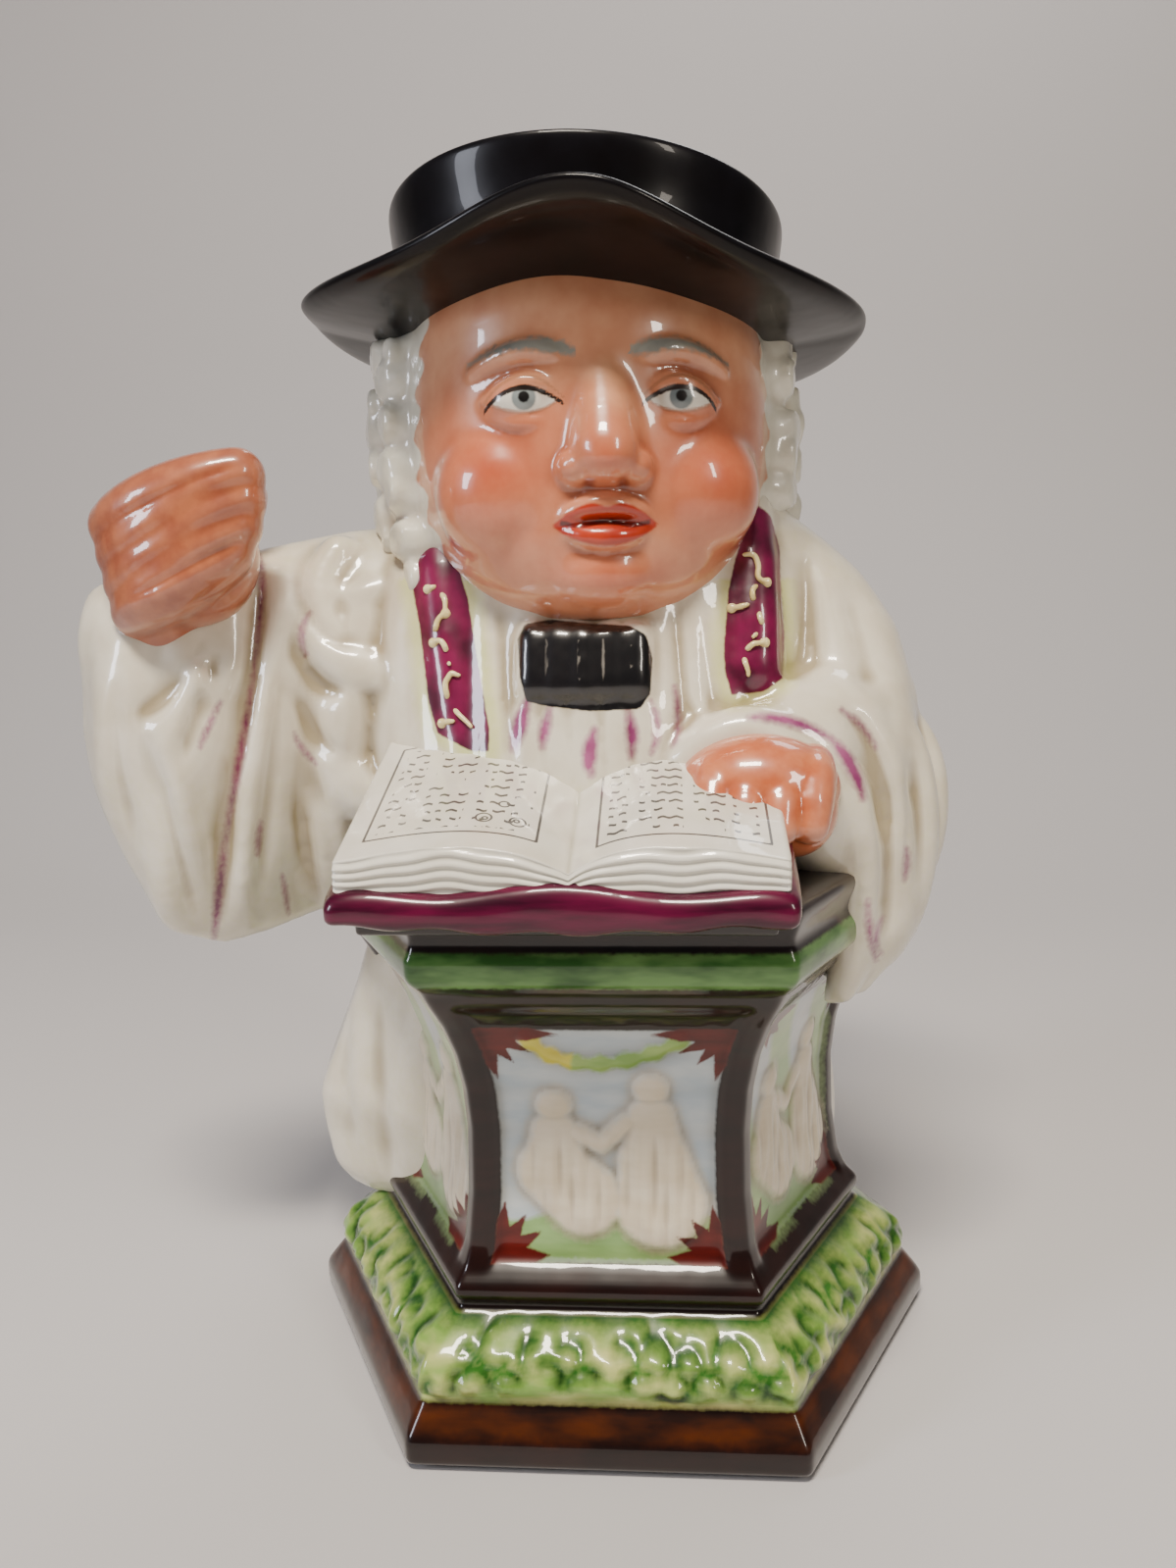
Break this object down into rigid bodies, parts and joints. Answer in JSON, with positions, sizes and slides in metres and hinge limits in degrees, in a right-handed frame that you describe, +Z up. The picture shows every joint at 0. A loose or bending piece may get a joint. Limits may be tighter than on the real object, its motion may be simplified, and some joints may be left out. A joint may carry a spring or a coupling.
{
  "type": "toby jug",
  "caption": "Hollow glazed earthenware toby jug of a parson in a wide hat, one fist raised, preaching over an open book from a six-sided pulpit, with a loop handle behind",
  "frame": {"origin": "centre of the flat hexagonal underside", "axes": "+Z up, the front of the pulpit and the face look along -Y, the raised fist is on the -X side"},
  "size_m": [0.1584, 0.1272, 0.2118],
  "materials": {
    "glazed_earthenware": "gloss"
  },
  "bodies": {
    "root": {"toby_jug": "glazed_earthenware"}
  },
  "joints": []
}
